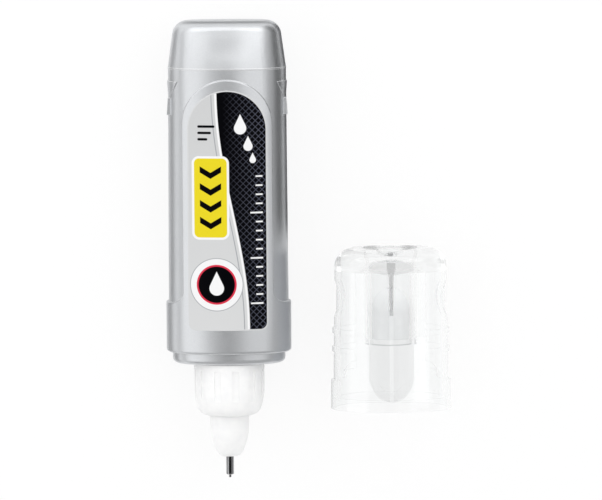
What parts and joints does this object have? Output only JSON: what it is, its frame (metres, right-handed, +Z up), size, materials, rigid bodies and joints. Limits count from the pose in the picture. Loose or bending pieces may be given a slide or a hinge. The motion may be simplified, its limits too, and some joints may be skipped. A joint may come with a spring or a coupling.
{
  "type": "correction pen",
  "caption": "Flattened squeeze bottle with a fluted collar, a cone and a sprung metal tip for correction fluid, lying beside its clear oval cap.",
  "frame": {"origin": "on the table under the middle of the pen and the cap together, as they lie", "axes": "+Y towards the rear end of the pen and the closed end of the cap, +Z up from the table, +X from the pen to the cap"},
  "size_m": [0.0628, 0.1016, 0.0197],
  "materials": {
    "silver_plastic": "satin",
    "printed_label": "printed",
    "white_plastic": "satin",
    "gasket_rubber": "matt",
    "steel": "polished",
    "clear_plastic": "clear",
    "milky_plastic": "translucent"
  },
  "bodies": {
    "pen": {"bottle": "silver_plastic", "front_label": "printed_label", "nozzle_collar": "white_plastic", "nozzle_cone": "white_plastic", "neck_gasket": "gasket_rubber", "tip_tube": "steel", "valve_spring": "steel", "spring_retainer": "white_plastic"},
    "needle": {"valve_needle": "steel", "needle_head": "white_plastic"},
    "ball_front": {"mixing_ball_front": "steel"},
    "ball_rear": {"mixing_ball_rear": "steel"},
    "cap": {"cap_shell": "clear_plastic", "cap_seal": "milky_plastic"}
  },
  "joints": [
    {"name": "cap_pull", "type": "slide", "parent": "pen", "child": "cap", "axis": [0, 1, 0], "range_m": [0, 0.03]},
    {"name": "needle_press", "type": "slide", "parent": "pen", "child": "needle", "axis": [0, 1, 0], "range_m": [0, 0.0007], "stiffness_N_per_m": 200, "springref_m": -0.002, "deforming": ["valve_spring"]},
    {"name": "ball_front_roll", "type": "slide", "parent": "pen", "child": "ball_front", "axis": [0, -1, 0], "range_m": [0, 0.0125]},
    {"name": "ball_rear_roll", "type": "slide", "parent": "pen", "child": "ball_rear", "axis": [0, 1, 0], "range_m": [0, 0.034]}
  ]
}
